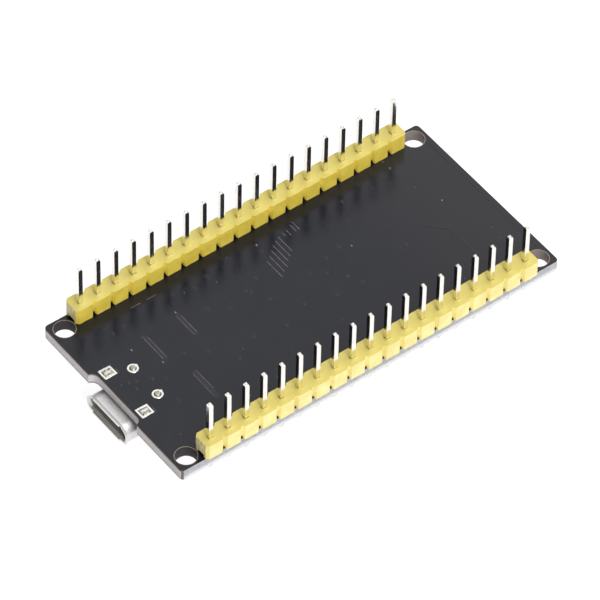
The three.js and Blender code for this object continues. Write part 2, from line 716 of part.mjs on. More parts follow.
// A flat base with a smaller lens sunk a little way into it
function makePowerLed() {
  const led = POWER_LED;
  const z1 = -SEAT_GAP;
  const base = toSolid(box(
    led.x - led.sizeX / 2, led.x + led.sizeX / 2, led.y - led.sizeY / 2, led.y + led.sizeY / 2,
    z1 - led.baseHeight, z1,
  ));
  const lens = toSolid(roundedBox(
    led.x, led.y, led.lensX, led.lensY,
    z1 - led.height, z1 - led.baseHeight / 2, led.edge,
  ));
  addPiece('power_led', toGeometry(base.add(lens)), FINISH.lens);
}

// ---------------------------------------------------------------- assembly

makeCircuitBoard();
for (const row of ROWS) {
  makeHeaderStrip(row);
  makePins(row);
}
makeUsbSocket();
makeModuleBoard();
makeShieldCan();
makeSwitch('reset', USB_Y + SWITCH_Y);
makeSwitch('boot', USB_Y - SWITCH_Y);
makeRegulator();
makePowerLed();
BLOCKS.forEach(makeBlock);

board.position.set((USB_OVERHANG + USB_LIP_EDGE) / 2, 0, CAN_FACE_DEPTH);

const assembly = new THREE.Group();
assembly.add(board);

export default assembly;
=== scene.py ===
"""A 38-pin wireless microcontroller development board, pins up, resting on its radio module's can.

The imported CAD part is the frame. This script rounds its edges, gives it its finishes, adds what is too
fine for the CAD (solder, pads, tracks, contacts, small components, printed outlines), and sets the
light and the camera.

Sizes are written in millimetres. Places are measured from the middle of the circuit board: x runs from
the USB end to the antenna end, and y from pin row b to pin row a.
"""

import math

import bmesh
import bpy
from mathutils import Matrix, Vector, noise


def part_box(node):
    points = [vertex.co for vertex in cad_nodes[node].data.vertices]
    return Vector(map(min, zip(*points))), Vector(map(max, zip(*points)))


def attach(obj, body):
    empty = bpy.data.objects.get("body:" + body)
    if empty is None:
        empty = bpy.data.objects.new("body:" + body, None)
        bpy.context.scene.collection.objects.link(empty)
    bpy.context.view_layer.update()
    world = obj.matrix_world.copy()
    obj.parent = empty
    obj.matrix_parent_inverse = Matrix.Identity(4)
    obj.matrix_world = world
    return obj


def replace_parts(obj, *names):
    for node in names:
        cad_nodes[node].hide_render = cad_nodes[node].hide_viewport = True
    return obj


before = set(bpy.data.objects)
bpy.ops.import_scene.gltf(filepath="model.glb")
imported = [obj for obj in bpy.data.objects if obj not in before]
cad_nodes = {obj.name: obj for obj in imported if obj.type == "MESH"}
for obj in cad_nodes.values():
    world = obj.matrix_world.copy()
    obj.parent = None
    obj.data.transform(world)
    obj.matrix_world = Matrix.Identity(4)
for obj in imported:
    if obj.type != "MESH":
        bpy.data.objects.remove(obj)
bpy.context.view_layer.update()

MM = 0.001
FULL_TURN = 2 * math.pi
BOARD_BODY = "board"

board_low, board_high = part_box("circuit_board")
PIN_FACE = board_high.z
PARTS_FACE = board_low.z
BOARD_X = (board_low.x + board_high.x) / 2
BOARD_Y = (board_low.y + board_high.y) / 2
PITCH = 2.54
PINS_PER_ROW = 19
ROW_Y = (12.7, -12.7)


def place(x, y, z):
    """A point in metres: x and y in millimetres from the middle of the board, and z already in metres."""
    return Vector((BOARD_X + x * MM, BOARD_Y + y * MM, z))


def middle(node):
    low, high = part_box(node)
    return (low + high) / 2


def span(node):
    low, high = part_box(node)
    return high - low


# ---------------------------------------------------------------- finishes


class Finish:
    """A Principled material whose patterns read Object coordinates, in metres."""

    def __init__(self, name, colour, roughness, metallic=0.0, **sockets):
        self.material = bpy.data.materials.new(name)
        self.material.use_nodes = True
        self.tree = self.material.node_tree
        self.shader = self.tree.nodes["Principled BSDF"]
        self.set("Base Color", (*colour, 1))
        self.set("Roughness", roughness)
        self.set("Metallic", metallic)
        for socket, value in sockets.items():
            self.set(socket.replace("_", " "), value)
        self.place = self.node("ShaderNodeTexCoord").outputs["Object"]

    def set(self, socket, value):
        """Gives one of the shader's sockets a value or a link."""
        if isinstance(value, bpy.types.NodeSocket):
            self.tree.links.new(value, self.shader.inputs[socket])
        else:
            self.shader.inputs[socket].default_value = value

    def node(self, kind, inputs=None, **settings):
        made = self.tree.nodes.new(kind)
        for setting, value in settings.items():
            setattr(made, setting, value)
        for socket, value in (inputs or {}).items():
            if isinstance(value, bpy.types.NodeSocket):
                self.tree.links.new(value, made.inputs[socket])
            else:
                made.inputs[socket].default_value = value
        return made

    def math(self, operation, a, b=0.0):
        return self.node("ShaderNodeMath", {0: a, 1: b}, operation=operation).outputs[0]

    def axes(self, vector):
        """The x, y and z of a vector."""
        return self.node("ShaderNodeSeparateXYZ", {"Vector": vector}).outputs

    def distance(self, value, at):
        """How far value is from at, whichever way."""
        return self.math("ABSOLUTE", self.math("SUBTRACT", value, at))

    def facing(self):
        """The x, y and z of the surface's direction."""
        return self.axes(self.node("ShaderNodeNewGeometry").outputs["True Normal"])

    def stretched(self, stretch):
        return self.node("ShaderNodeMapping", {"Vector": self.place, "Scale": stretch}).outputs[0]

    def grain(self, size, detail=3.0, stretch=(1, 1, 1)):
        """Noise from 0 to 1 whose lumps are about size millimetres wide, longer where stretch is small."""
        made = self.node(
            "ShaderNodeTexNoise",
            {"Vector": self.stretched(stretch), "Scale": 1 / (size * MM), "Detail": detail, "Roughness": 0.6},
        )
        return made.outputs["Fac"]

    def specks(self, spacing, radius):
        """1 inside small dots that are about spacing millimetres apart."""
        made = self.node("ShaderNodeTexVoronoi", {"Vector": self.place, "Scale": 1 / (spacing * MM)})
        return self.math("LESS_THAN", made.outputs["Distance"], radius / spacing)

    def ranged(self, value, start, end, low=0.0, high=1.0):
        """value from start to end, turned smoothly into low to high."""
        made = self.node(
            "ShaderNodeMapRange",
            {"Value": value, "From Min": start, "From Max": end, "To Min": low, "To Max": high},
            interpolation_type="SMOOTHSTEP",
        )
        return made.outputs["Result"]

    def mixed(self, share, a, b):
        """Colour a, or b where share is 1."""
        colours = {
            socket: value if isinstance(value, bpy.types.NodeSocket) else (*value, 1)
            for socket, value in ((6, a), (7, b))
        }
        return self.node("ShaderNodeMix", {0: share, **colours}, data_type="RGBA").outputs[2]

    def relief(self, height, depth):
        """Raises the surface by depth millimetres where height is 1."""
        bump = self.node("ShaderNodeBump", {"Height": height, "Distance": depth * MM, "Strength": 1.0})
        if self.shader.inputs["Normal"].is_linked:
            earlier = self.shader.inputs["Normal"].links[0].from_socket
            self.tree.links.new(earlier, bump.inputs["Normal"])
        self.set("Normal", bump.outputs["Normal"])


# Bands across an end wall: where each starts and where it is full, in millimetres below the pin face
END_WALL_BANDS = (
    (0.40, 0.26, (0.42, 0.35, 0.24)),
    (0.22, 0.15, (0.10, 0.075, 0.035)),
    (1.30, 1.44, (0.30, 0.24, 0.18)),
)
BARED_RING = 0.08
CORNER_LENGTH = 0.46


def mask_colouring(finish, towards_antenna):
    """Near-black mask, paler towards the antenna end, with specks of dust on it."""
    tone = finish.ranged(finish.grain(5.0), 0.3, 0.7)
    colour = finish.mixed(tone, (0.0040, 0.0050, 0.0105), (0.0062, 0.0070, 0.0140))
    colour = finish.mixed(towards_antenna, colour, (0.0165, 0.0160, 0.0210))
    dusty = finish.ranged(finish.grain(2.2), 0.42, 0.62)
    dust = finish.math("MULTIPLY", finish.specks(1.7, 0.065), dusty)
    return finish.mixed(dust, colour, (0.24, 0.23, 0.21))


def end_wall_colouring(finish, depth):
    """Plies of glass-epoxy, with browner bands along both faces of the board."""
    plies = finish.grain(0.24, 2.0, (0.12, 0.12, 1.0))
    colour = finish.mixed(finish.ranged(plies, 0.35, 0.65), (0.50, 0.48, 0.52), (0.60, 0.58, 0.62))
    for start, full, band in END_WALL_BANDS:
        colour = finish.mixed(finish.ranged(depth, start * MM, full * MM), colour, band)
    return colour


def long_wall_colouring(finish, up, fibres):
    """A rough wall: pale and ragged near the component side, and grey with darker fibres above. Its pale grey
    is partly the rough cut and partly painted light from the front, which makes it paler than the end walls.
    """
    streaks = finish.grain(0.11, 3.0, (0.35, 1.0, 0.8))
    ragged = finish.math("ADD", up, finish.math("MULTIPLY", finish.math("SUBTRACT", fibres, 0.5), 1.5))
    colour = finish.mixed(finish.ranged(ragged, 0.0, 0.4), (0.64, 0.64, 0.65), (0.37, 0.37, 0.39))
    dark = finish.math("MULTIPLY", finish.ranged(streaks, 0.50, 0.58), finish.ranged(up, 0.25, 0.5))
    return finish.mixed(finish.math("MULTIPLY", dark, 0.7), colour, (0.19, 0.19, 0.21))


def corner_share(finish, along, across, half, long_side):
    """1 on the rounded outer corners of a board, where its walls turn."""
    at_corner = finish.ranged(along, half.x - CORNER_LENGTH * MM, half.x - (CORNER_LENGTH - 0.1) * MM)
    turning = finish.ranged(finish.math("ABSOLUTE", finish.facing()["Y"]), 0.25, 0.4)
    turning = finish.math("MULTIPLY", turning, finish.math("SUBTRACT", 1.0, long_side))
    turning = finish.math("MULTIPLY", turning, finish.math("GREATER_THAN", across, half.y - 0.6 * MM))
    return finish.math("MULTIPLY", at_corner, turning)


def board_finish(name, node, hole=None):
    """Glossy near-black solder mask on both faces of a board, and bare glass-epoxy on its walls.

    hole is the x, y and radius, in metres, of unplated holes that lie alike about both middle lines.
    """
    low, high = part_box(node)
    centre = (low + high) / 2
    half = (high - low) / 2
    finish = Finish(name, (0.005, 0.006, 0.012), 0.2, IOR=1.45)
    facing = finish.facing()
    axes = finish.axes(finish.place)
    along = finish.distance(axes["X"], centre.x)
    across = finish.distance(axes["Y"], centre.y)
    masked = finish.math("GREATER_THAN", finish.math("ABSOLUTE", facing["Z"]), 0.75)
    long_side = finish.ranged(finish.math("ABSOLUTE", facing["Y"]), 0.93, 0.97)
    # A ramp from 0 to 1 along x towards the antenna end: it makes the mask paler and lightens the painted
    # shade in the bores.
    towards_antenna = finish.ranged(axes["X"], centre.x + 6 * MM, centre.x + 27 * MM)
    fibres = finish.grain(0.09, 4.0, (1.0, 1.0, 0.55))

    mask_colour = mask_colouring(finish, towards_antenna)
    end_colour = end_wall_colouring(finish, finish.math("SUBTRACT", high.z, axes["Z"]))
    side_colour = long_wall_colouring(finish, finish.ranged(axes["Z"], low.z, high.z), fibres)
    # The long walls are painted paler than the end walls, partly for their rough cut and partly as painted
    # light from the front.
    wall_colour = finish.mixed(long_side, end_colour, side_colour)
    corner = corner_share(finish, along, across, half, long_side)
    wall_colour = finish.mixed(corner, wall_colour, (0.13, 0.105, 0.09))

    if hole:
        hole_x, hole_y, radius = hole
        from_x = finish.math("POWER", finish.math("SUBTRACT", along, hole_x), 2)
        from_y = finish.math("POWER", finish.math("SUBTRACT", across, hole_y), 2)
        reach = finish.math("SQRT", finish.math("ADD", from_x, from_y))
        # Painted shade: the unplated bore walls are painted near-black, darkest towards the USB end and paler
        # towards the antenna end, with paler fibres in patches.
        bore_colour = finish.mixed(towards_antenna, (0.022, 0.019, 0.024), (0.21, 0.18, 0.17))
        frayed = finish.ranged(fibres, 0.45, 0.8, 0.0, 0.6)
        bore_colour = finish.mixed(frayed, bore_colour, (0.11, 0.095, 0.095))
        inside = finish.math("LESS_THAN", reach, radius + 0.02 * MM)
        wall_colour = finish.mixed(inside, wall_colour, bore_colour)
        bared = finish.math("LESS_THAN", reach, radius + BARED_RING * MM)
        mask_colour = finish.mixed(bared, mask_colour, (0.29, 0.235, 0.165))

    finish.set("Base Color", finish.mixed(masked, wall_colour, mask_colour))
    smooth = finish.ranged(finish.grain(1.4), 0.3, 0.7, 0.18, 0.25)
    wall = finish.math("SUBTRACT", 1.0, masked)
    finish.set("Roughness", finish.math("ADD", smooth, finish.math("MULTIPLY", wall, 0.5)))
    finish.relief(finish.math("MULTIPLY", finish.grain(0.7), masked), 0.002)
    finish.relief(finish.math("MULTIPLY", fibres, wall), 0.04)
    return finish.material


def header_finish():
    """Satin yellow moulding, scored where it was cut to length, with painted light: its outer sides and its
    top faces are painted paler.
    """
    low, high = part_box("header_strip_a")
    finish = Finish("header_plastic", (0.68, 0.50, 0.06), 0.45, IOR=1.55)
    facing = finish.facing()
    place_axes = finish.axes(finish.place)
    from_middle = finish.distance(place_axes["X"], (low.x + high.x) / 2)
    at_end = finish.math("GREATER_THAN", from_middle, (high.x - low.x) / 2 - 0.02 * MM)
    cut = finish.math("MULTIPLY", at_end, finish.ranged(finish.math("ABSOLUTE", facing["X"]), 0.8, 0.9))
    outward = finish.math("MULTIPLY", facing["Y"], finish.math("SIGN", place_axes["Y"]))

    tone = finish.ranged(finish.grain(1.6), 0.3, 0.7)
    moulded = finish.mixed(tone, (0.62, 0.475, 0.050), (0.72, 0.56, 0.085))
    # Painted light: the outer sides are painted paler, standing in for light from the white floor and the
    # front.
    painted_lit_outer = finish.mixed(tone, (0.64, 0.55, 0.19), (0.74, 0.65, 0.27))
    moulded = finish.mixed(finish.ranged(outward, 0.45, 0.9), moulded, painted_lit_outer)
    # Painted highlight: faces that look up are painted a paler yellow.
    moulded = finish.mixed(finish.ranged(facing["Z"], 0.6, 0.95, 0.0, 0.6), moulded, (0.69, 0.60, 0.18))
    scored = finish.grain(0.16, 3.0, (1.0, 1.0, 0.14))
    pale = finish.mixed(finish.ranged(scored, 0.35, 0.65), (0.52, 0.43, 0.13), (0.80, 0.74, 0.42))
    finish.set("Base Color", finish.mixed(cut, moulded, pale))
    finish.set("Roughness", finish.ranged(finish.grain(0.5), 0.3, 0.7, 0.32, 0.46))
    finish.relief(finish.grain(0.13), 0.005)
    finish.relief(finish.math("MULTIPLY", scored, cut), 0.08)
    return finish.material


def metal_finish(name, dark, light, roughness, grain, stretch=(1, 1, 1), depth=0.002, metallic=1.0):
    """Bare or plated metal: its tone and roughness vary with a grain of the given size."""
    finish = Finish(name, light, sum(roughness) / 2, metallic)
    tone = finish.grain(grain, 3.0, stretch)
    finish.set("Base Color", finish.mixed(finish.ranged(tone, 0.3, 0.7), dark, light))
    finish.set("Roughness", finish.ranged(finish.grain(grain * 2.3, 2.0, stretch), 0.3, 0.7, *roughness))
    finish.relief(tone, depth)
    return finish.material


def moulding_finish(name, dark, light, roughness, grain, depth):
    """A moulded or fired body with a fine texture."""
    finish = Finish(name, light, sum(roughness) / 2)
    tone = finish.grain(grain)
    finish.set("Base Color", finish.mixed(finish.ranged(tone, 0.3, 0.7), dark, light))
    finish.set("Roughness", finish.ranged(finish.grain(grain * 3), 0.3, 0.7, *roughness))
    finish.relief(tone, depth)
    return finish.material


def fluxed_solder_finish():
    """Solder under a patchy yellow film of dried flux."""
    finish = Finish("fluxed_solder", (0.5, 0.5, 0.45), 0.35, 0.8)
    bare = finish.mixed(finish.ranged(finish.grain(0.16), 0.35, 0.65), (0.20, 0.20, 0.19), (0.62, 0.62, 0.60))
    film = finish.ranged(finish.grain(0.34), 0.42, 0.6)
    finish.set("Base Color", finish.mixed(film, bare, (0.46, 0.42, 0.24)))
    finish.set("Metallic", finish.ranged(film, 0.0, 1.0, 0.95, 0.35))
    finish.set("Roughness", finish.ranged(film, 0.0, 1.0, 0.22, 0.5))
    finish.relief(finish.grain(0.14), 0.03)
    return finish.material


CORNER_X = 25.6
CORNER_Y = 11.9
CORNER_HOLE = (CORNER_X * MM, CORNER_Y * MM, 1.32 * MM)
BOARD_FINISH = board_finish("solder_mask", "circuit_board", CORNER_HOLE)
MODULE_FINISH = board_finish("module_mask", "module_board")
HEADER_FINISH = header_finish()
PIN_FINISH = metal_finish(
    "pin_plating", (0.80, 0.77, 0.72), (0.93, 0.91, 0.88), (0.10, 0.2), 0.12, (1, 1, 0.12), 0.0015
)
STEEL_FINISH = metal_finish(
    "plated_steel", (0.66, 0.65, 0.645), (0.74, 0.73, 0.725), (0.3, 0.4), 0.14, (0.6, 1, 1), 0.001, 0.5
)
# The inner walls of the USB shell: a dull brownish grey that is painted shade inside the mouth, not the
# steel's own colour.
SHADED_MOUTH_FINISH = moulding_finish(
    "painted_shade_in_mouth", (0.27, 0.24, 0.20), (0.40, 0.36, 0.31), (0.36, 0.5), 0.12, 0.004
)
CAN_FINISH = metal_finish(
    "can_metal", (0.62, 0.62, 0.61), (0.76, 0.76, 0.75), (0.24, 0.36), 0.16, (0.08, 1, 1), 0.002
)
TIN_FINISH = metal_finish(
    "tinned_copper", (0.80, 0.79, 0.77), (0.93, 0.92, 0.91), (0.16, 0.32), 0.2, depth=0.004
)
GOLD_FINISH = metal_finish("gold_wash", (0.76, 0.56, 0.24), (0.90, 0.70, 0.34), (0.18, 0.3), 0.2)
SOLDER_FINISH = metal_finish(
    "solder", (0.60, 0.60, 0.60), (0.84, 0.84, 0.83), (0.14, 0.34), 0.25, depth=0.008
)
FLUXED_FINISH = fluxed_solder_finish()
VIA_FINISH = moulding_finish("exposed_via", (0.22, 0.22, 0.21), (0.36, 0.36, 0.35), (0.3, 0.42), 0.2, 0.003)
BLACK_FINISH = moulding_finish(
    "black_plastic", (0.010, 0.010, 0.011), (0.022, 0.022, 0.024), (0.42, 0.6), 0.12, 0.006
)
CHIP_FINISH = moulding_finish(
    "chip_moulding", (0.012, 0.012, 0.013), (0.030, 0.030, 0.032), (0.5, 0.68), 0.06, 0.006
)
BUTTON_FINISH = moulding_finish(
    "button_plastic", (0.70, 0.67, 0.58), (0.80, 0.78, 0.70), (0.32, 0.48), 0.3, 0.003
)
AMBER_FINISH = moulding_finish(
    "capacitor_moulding", (0.60, 0.32, 0.04), (0.76, 0.44, 0.07), (0.45, 0.6), 0.1, 0.005
)
AMBER_BAND_FINISH = moulding_finish(
    "capacitor_band", (0.16, 0.07, 0.02), (0.24, 0.11, 0.03), (0.45, 0.6), 0.1, 0.003
)
LENS_FINISH = moulding_finish("led_lens", (0.78, 0.76, 0.62), (0.88, 0.86, 0.74), (0.12, 0.22), 0.2, 0.002)
CERAMIC_FINISH = moulding_finish(
    "ceramic_chip", (0.36, 0.25, 0.15), (0.50, 0.36, 0.22), (0.4, 0.55), 0.12, 0.004
)
ALUMINA_FINISH = moulding_finish("alumina", (0.70, 0.70, 0.68), (0.84, 0.84, 0.82), (0.4, 0.55), 0.1, 0.003)
LEGEND_FINISH = moulding_finish(
    "legend_ink", (0.62, 0.62, 0.61), (0.80, 0.80, 0.79), (0.5, 0.65), 0.09, 0.006
)
# Paler than the mask: painted glints along the edges of tracks under the mask.
TRACK_FINISH = moulding_finish(
    "painted_glint_on_tracks", (0.060, 0.060, 0.066), (0.13, 0.13, 0.14), (0.2, 0.32), 0.5, 0.002
)
PLAIN_TRACK_FINISH = moulding_finish(
    "mask_on_track", (0.006, 0.007, 0.013), (0.011, 0.012, 0.018), (0.16, 0.24), 0.6, 0.002
)


# ---------------------------------------------------------------- mesh helpers


def add_piece(name, bm, finishes, body=BOARD_BODY, crease=35):
    """Makes a named piece of a bmesh drawn in place, smooth except at edges of more than crease degrees."""
    bmesh.ops.recalc_face_normals(bm, faces=bm.faces)
    for face in bm.faces:
        face.smooth = True
    for edge in bm.edges:
        edge.smooth = not edge.is_manifold or edge.calc_face_angle(0) < math.radians(crease)
    mesh = bpy.data.meshes.new(name)
    bm.to_mesh(mesh)
    bm.free()
    for finish in finishes if isinstance(finishes, tuple) else (finishes,):
        mesh.materials.append(finish)
    piece = bpy.data.objects.new(name, mesh)
    bpy.context.scene.collection.objects.link(piece)
    evened = piece.modifiers.new("even_shading", "WEIGHTED_NORMAL")
    evened.keep_sharp = True
    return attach(piece, body)


def round_edges(bm, radius, edges, segments=2):
    bmesh.ops.bevel(
        bm, geom=edges, offset=radius * MM, offset_type="OFFSET", segments=segments, profile=0.5,
        affect="EDGES", clamp_overlap=True, material=-1,
    )


def sharp_edges(bm, least=25):
    return [e for e in bm.edges if e.is_manifold and e.calc_face_angle() > math.radians(least)]


def cut_across(bm, axis, places):
    """Cuts flat faces at places along an axis, in metres, and marks the cuts as seams, which are kept."""
    for at in places:
        point = Vector((0, 0, 0))
        point[axis] = at
        normal = Vector((0, 0, 0))
        normal[axis] = 1
        geom = [*bm.verts, *bm.edges, *bm.faces]
        made = bmesh.ops.bisect_plane(bm, geom=geom, dist=0.0001 * MM, plane_co=point, plane_no=normal)
        for edge in made["geom_cut"]:
            if isinstance(edge, bmesh.types.BMEdge):
                edge.seam = True


def rounded_node(node, finishes, radius, body=BOARD_BODY, second=None, cuts_x=(), cuts_y=()):
    """A copy of a CAD node with its sharp edges rounded. Faces for which second(face) holds take finish 2.

    A face with holes in it is first cut through them, at cuts_x and cuts_y, in metres.
    """
    bm = bmesh.new()
    bm.from_mesh(cad_nodes[node].data)
    bmesh.ops.remove_doubles(bm, verts=bm.verts, dist=0.001 * MM)
    cut_across(bm, 0, cuts_x)
    cut_across(bm, 1, cuts_y)
    bmesh.ops.dissolve_limit(
        bm, angle_limit=math.radians(1), verts=bm.verts, edges=bm.edges, delimit={"SEAM"}
    )
    round_edges(bm, radius, sharp_edges(bm))
    for face in bm.faces:
        face.material_index = int(second is not None and second(face))
    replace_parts(add_piece(f"{node}_rounded", bm, finishes, body), node)


def block(bm, low, high, radius=0.0, finish=0):
    """A box between two corners, in metres, with its edges rounded."""
    low, high = Vector(low), Vector(high)
    made = bmesh.ops.create_cube(bm, size=1, matrix=Matrix.LocRotScale((low + high) / 2, None, high - low))
    faces = {f for v in made["verts"] for f in v.link_faces}
    for face in faces:
        face.material_index = finish
    if radius:
        round_edges(bm, radius, list({e for f in faces for e in f.edges}))


def strip(bm, start, end, width, z0, z1):
    """A flat strip from start to end, (x, y) in millimetres, with square ends half a width beyond them."""
    along = Vector(end) - Vector(start)
    centre = place(*((Vector(start) + Vector(end)) / 2), (z0 + z1) / 2)
    turn = Matrix.Rotation(math.atan2(along.y, along.x), 3, "Z").to_quaternion()
    size = Vector(((along.length + width) * MM, width * MM, abs(z1 - z0)))
    bmesh.ops.create_cube(bm, size=1, matrix=Matrix.LocRotScale(centre, turn, size))


def ribbon(bm, points, width, z0, z1):
    """A flat track through points, (x, y) in millimetres, with mitred corners and square ends."""
    points = [Vector(point) for point in points]
    steps = [(b - a).normalized() for a, b in zip(points, points[1:])]
    sides = []
    for before, point, after in zip([steps[0], *steps], points, [*steps, steps[-1]]):
        mitre = (before + after).normalized()
        reach = Vector((-mitre.y, mitre.x)) * (width / 2 / mitre.dot(after))
        sides.append((place(*(point + reach), z1), place(*(point - reach), z1)))
    sheet = bmesh.ops.create_grid(bm, x_segments=len(points) - 1, y_segments=1, size=1)["verts"]
    for vert, corner in zip(sheet, [right for _, right in sides] + [left for left, _ in sides]):
        vert.co = corner
    lowered = bmesh.ops.extrude_face_region(bm, geom=list({f for v in sheet for f in v.link_faces}))["geom"]
    verts = [item for item in lowered if isinstance(item, bmesh.types.BMVert)]
    bmesh.ops.translate(bm, verts=verts, vec=(0, 0, z0 - z1))


def turned(bm, profile, x, y, face, steps=24, angle=FULL_TURN, start=0.0):
    """Spins a profile of (radius, height) points, in millimetres, about an upright axis on a board face.

    Heights are measured away from the board on whichever face it is.
    """
    away = 1 if face == PIN_FACE else -1
    centre = place(x, y, face)
    turn = Matrix.Rotation(start, 3, "Z")
    verts = [bm.verts.new(centre + turn @ Vector((r * MM, 0, away * h * MM))) for r, h in profile]
    edges = [bm.edges.new((a, b)) for a, b in zip(verts, verts[1:])]
    meets_axis = profile[0][0] == 0 and profile[-1][0] == 0
    if not meets_axis:
        edges.append(bm.edges.new((verts[-1], verts[0])))
    whole = abs(angle - FULL_TURN) < 1e-6
    if not whole:
        bm.faces.new(verts)
    bmesh.ops.spin(
        bm, geom=verts + edges + ([] if whole else [verts[0].link_faces[0]]), cent=centre, axis=(0, 0, 1),
        angle=angle, steps=steps, use_merge=whole, use_duplicate=False,
    )


def merged(bm):
    bmesh.ops.remove_doubles(bm, verts=bm.verts, dist=0.0005 * MM)
    return bm


def solder_mound(bm, x, y, size_x, size_y, face, sunk, height, lumps, cells=12):
    """A lumpy pillow of solder that fills a rectangle and rises to height at its middle."""
    away = 1 if face == PIN_FACE else -1
    base = place(x, y, face - away * sunk * MM)
    scale = Matrix.Diagonal((size_x * MM, size_y * MM, 1, 1))
    made = bmesh.ops.create_grid(
        bm, x_segments=cells, y_segments=cells, size=0.5, matrix=Matrix.Translation(base) @ scale
    )
    faces = list({f for v in made["verts"] for f in v.link_faces})
    raised = bmesh.ops.extrude_face_region(bm, geom=faces)
    for vert in (v for v in raised["geom"] if isinstance(v, bmesh.types.BMVert)):
        u = 2 * (vert.co.x - base.x) / (size_x * MM)
        v = 2 * (vert.co.y - base.y) / (size_y * MM)
        pillow = math.sqrt(max(0.0, (1 - u * u) * (1 - v * v)))
        lump = noise.noise(vert.co / (0.3 * MM)) * lumps
        vert.co.z += away * (sunk + height * pillow + lump * pillow) * MM


# ---------------------------------------------------------------- the CAD pieces, rounded and finished

USB_Y = -0.1
LEG_X = -25.5
LEG_Y = 3.62
PEG_X = -22.76
PEG_Y = 2.42

PIN_X = [BOARD_X + (index - (PINS_PER_ROW - 1) / 2) * PITCH * MM for index in range(PINS_PER_ROW)]
BETWEEN_PINS = [(a + b) / 2 for a, b in zip(PIN_X, PIN_X[1:])]
HOLE_X = [BOARD_X + x * MM for x in (-CORNER_X, LEG_X, PEG_X, CORNER_X)]
HOLE_Y = [BOARD_Y + side * y * MM for side in (-1, 1) for y in (CORNER_Y, ROW_Y[0])]
HOLE_Y += [BOARD_Y + (USB_Y + side * y) * MM for side in (-1, 1) for y in (LEG_Y, PEG_Y)]
rounded_node("circuit_board", BOARD_FINISH, 0.03, cuts_x=PIN_X + HOLE_X, cuts_y=HOLE_Y)
rounded_node("module_board", MODULE_FINISH, 0.02)
for row, row_y in zip("ab", ROW_Y):
    rounded_node(
        f"header_strip_{row}", HEADER_FINISH, 0.07,
        cuts_x=PIN_X + BETWEEN_PINS, cuts_y=[BOARD_Y + row_y * MM],
    )
    for number in range(1, PINS_PER_ROW + 1):
        rounded_node(f"pin_{row}_{number:02d}", PIN_FINISH, 0.03)


shell_low, shell_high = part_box("usb_shell")
mouth_middle = Vector((0, (shell_low.y + shell_high.y) / 2, PARTS_FACE - 1.3 * MM))


def faces_mouth(face):
    """True for the inner walls of the USB shell, which take a dark finish of painted shade."""
    inward = mouth_middle - face.calc_center_median()
    inward.x = 0
    along_socket = abs(face.normal.x) < 0.3
    return along_socket and face.normal.dot(inward) > 0 and face.calc_center_median().z < PARTS_FACE


rounded_node("usb_shell", (STEEL_FINISH, SHADED_MOUTH_FINISH), 0.03, second=faces_mouth)
rounded_node("shield_can", CAN_FINISH, 0.05)

for use in ("reset", "boot"):
    rounded_node(f"{use}_switch_base", BLACK_FINISH, 0.05)
    rounded_node(f"{use}_switch_cover", STEEL_FINISH, 0.03)
    rounded_node(f"{use}_button", BUTTON_FINISH, 0.04, f"{use}_plunger")

regulator = middle("voltage_regulator")
REGULATOR_HALF = 1.75
rounded_node(
    "voltage_regulator", (CHIP_FINISH, TIN_FINISH), 0.03,
    second=lambda face: abs(face.calc_center_median().y - regulator.y) > (REGULATOR_HALF + 0.01) * MM,
)
rounded_node("usb_serial_chip", CHIP_FINISH, 0.03)
rounded_node("tantalum_capacitor", AMBER_FINISH, 0.05)
led_low, led_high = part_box("power_led")
rounded_node(
    "power_led", (LENS_FINISH, ALUMINA_FINISH), 0.03,
    second=lambda face: face.calc_center_median().z > led_high.z - 0.31 * MM,
)

for node, finish in {
    "usb_tongue": BLACK_FINISH,
    "radio_chip": CHIP_FINISH,
    "flash_chip": CHIP_FINISH,
    "crystal": CAN_FINISH,
    "reset_snap_dome": STEEL_FINISH,
    "boot_snap_dome": STEEL_FINISH,
}.items():
    materials = cad_nodes[node].data.materials
    materials.clear()
    materials.append(finish)


# ---------------------------------------------------------------- pads and solder of the USB socket, pin side

LEG_PAD = (1.72, 1.56)
LEG_PAD_BORDER = 0.25
PEG_RING = [(0.44, 0), (0.68, 0), (0.70, 0.02), (0.68, 0.04), (0.46, 0.04)]
PEG_RING_TAIL = [(0, 0), (0.22, 0), (0.20, 0.036), (0, 0.036)]
PEG_SOLDER = [(0, -0.3), (0.45, -0.3), (0.45, 0.03), (0.38, -0.06), (0.31, 0.06), (0.2, 0.18), (0, 0.2)]
FOIL = 0.04


def framed_pad(bm, x, y, size_x, size_y, border, face, height):
    """A flat rectangular pad with a rectangular opening."""
    away = 1 if face == PIN_FACE else -1
    matrix = Matrix.Translation(place(x, y, face)) @ Matrix.Diagonal((size_x * MM, size_y * MM, 1, 1))
    made = bmesh.ops.create_grid(bm, x_segments=1, y_segments=1, size=0.5, matrix=matrix)
    inner = made["verts"][0].link_faces[0]
    ring = bmesh.ops.inset_region(
        bm, faces=[inner], thickness=border * MM, use_even_offset=True, use_boundary=True
    )["faces"]
    bmesh.ops.delete(bm, geom=[inner], context="FACES_ONLY")
    raised = bmesh.ops.extrude_face_region(bm, geom=ring)["geom"]
    verts = [v for v in raised if isinstance(v, bmesh.types.BMVert)]
    bmesh.ops.translate(bm, verts=verts, vec=(0, 0, away * height * MM))


pads = bmesh.new()
for side in (1, -1):
    framed_pad(pads, LEG_X, USB_Y + side * LEG_Y, *LEG_PAD, LEG_PAD_BORDER, PIN_FACE, FOIL)
round_edges(pads, 0.015, sharp_edges(pads))
for side in (1, -1):
    turned(pads, PEG_RING, PEG_X, USB_Y + side * PEG_Y, PIN_FACE, 36)
    turned(pads, PEG_RING_TAIL, PEG_X + 0.56, USB_Y + side * PEG_Y + 0.16, PIN_FACE, 20)
add_piece("usb_pads_pin_side", merged(pads), TIN_FINISH)

